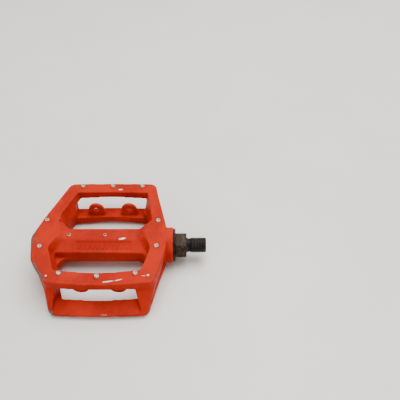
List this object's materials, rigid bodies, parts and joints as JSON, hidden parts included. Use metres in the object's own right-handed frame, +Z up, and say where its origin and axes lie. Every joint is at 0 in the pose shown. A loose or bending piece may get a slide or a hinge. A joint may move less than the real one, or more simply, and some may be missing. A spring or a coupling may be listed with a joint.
{
  "type": "flat bicycle pedal",
  "caption": "Flat platform bicycle pedal: red cast cage with screwed-in traction pins and reflector lugs, turning on a steel spindle with a hexagon and a crank thread.",
  "frame": {"origin": "on the spindle axis, at the centre of the pedal's bounding box", "axes": "+X along the spindle towards the crank thread, +Y to the rear rail, +Z up from the tread face"},
  "size_m": [0.14, 0.119, 0.0308],
  "materials": {
    "red_paint": "satin red enamel on a rough casting, chipped along the edges",
    "pin_steel": "plated steel, worn bright",
    "spindle_steel": "blackened steel with brown rust on the hexagon",
    "race_steel": "ground and hardened",
    "ball_steel": "polished",
    "seal_rubber": "matte",
    "dust_cap": "matte moulded"
  },
  "bodies": {
    "cage": {"pedal_cage": "red_paint", "pin_top_front_rail_1": "pin_steel", "pin_top_front_rail_2": "pin_steel", "pin_top_front_rail_3": "pin_steel", "pin_top_rear_rail_1": "pin_steel", "pin_top_rear_rail_2": "pin_steel", "pin_top_rear_rail_3": "pin_steel", "pin_top_barrel_1": "pin_steel", "pin_top_barrel_2": "pin_steel", "pin_top_barrel_3": "pin_steel", "pin_top_outboard_1": "pin_steel", "pin_top_outboard_2": "pin_steel", "pin_top_inboard_1": "pin_steel", "pin_top_inboard_2": "pin_steel", "pin_bottom_front_rail_1": "pin_steel", "pin_bottom_front_rail_2": "pin_steel", "pin_bottom_front_rail_3": "pin_steel", "pin_bottom_rear_rail_1": "pin_steel", "pin_bottom_rear_rail_2": "pin_steel", "pin_bottom_rear_rail_3": "pin_steel", "pin_bottom_barrel_1": "pin_steel", "pin_bottom_barrel_2": "pin_steel", "pin_bottom_barrel_3": "pin_steel", "pin_bottom_outboard_1": "pin_steel", "pin_bottom_outboard_2": "pin_steel", "pin_bottom_inboard_1": "pin_steel", "pin_bottom_inboard_2": "pin_steel", "inboard_cup": "race_steel", "outboard_cup": "race_steel", "dust_cap": "dust_cap", "inboard_seal": "seal_rubber"},
    "spindle": {"spindle": "spindle_steel", "adjusting_cone": "race_steel", "keyed_washer": "race_steel", "lock_nut": "race_steel"},
    "inboard_balls": {"inboard_ball_01": "ball_steel", "inboard_ball_02": "ball_steel", "inboard_ball_03": "ball_steel", "inboard_ball_04": "ball_steel", "inboard_ball_05": "ball_steel", "inboard_ball_06": "ball_steel", "inboard_ball_07": "ball_steel", "inboard_ball_08": "ball_steel", "inboard_ball_09": "ball_steel", "inboard_ball_10": "ball_steel", "inboard_ball_11": "ball_steel", "inboard_ball_12": "ball_steel"},
    "outboard_balls": {"outboard_ball_01": "ball_steel", "outboard_ball_02": "ball_steel", "outboard_ball_03": "ball_steel", "outboard_ball_04": "ball_steel", "outboard_ball_05": "ball_steel", "outboard_ball_06": "ball_steel", "outboard_ball_07": "ball_steel", "outboard_ball_08": "ball_steel", "outboard_ball_09": "ball_steel", "outboard_ball_10": "ball_steel", "outboard_ball_11": "ball_steel", "outboard_ball_12": "ball_steel"}
  },
  "joints": [
    {"name": "spindle_spin", "type": "hinge", "parent": "cage", "child": "spindle", "pos_m": [0, 0, 0], "axis": [1, 0, 0], "continuous": true},
    {"name": "inboard_ball_orbit", "type": "hinge", "parent": "cage", "child": "inboard_balls", "pos_m": [0, 0, 0], "axis": [1, 0, 0], "continuous": true},
    {"name": "outboard_ball_orbit", "type": "hinge", "parent": "cage", "child": "outboard_balls", "pos_m": [0, 0, 0], "axis": [1, 0, 0], "continuous": true}
  ],
  "couplings": [
    {"joint": "inboard_ball_orbit", "follows": "spindle_spin", "ratio": 0.415},
    {"joint": "outboard_ball_orbit", "follows": "spindle_spin", "ratio": 0.415}
  ]
}
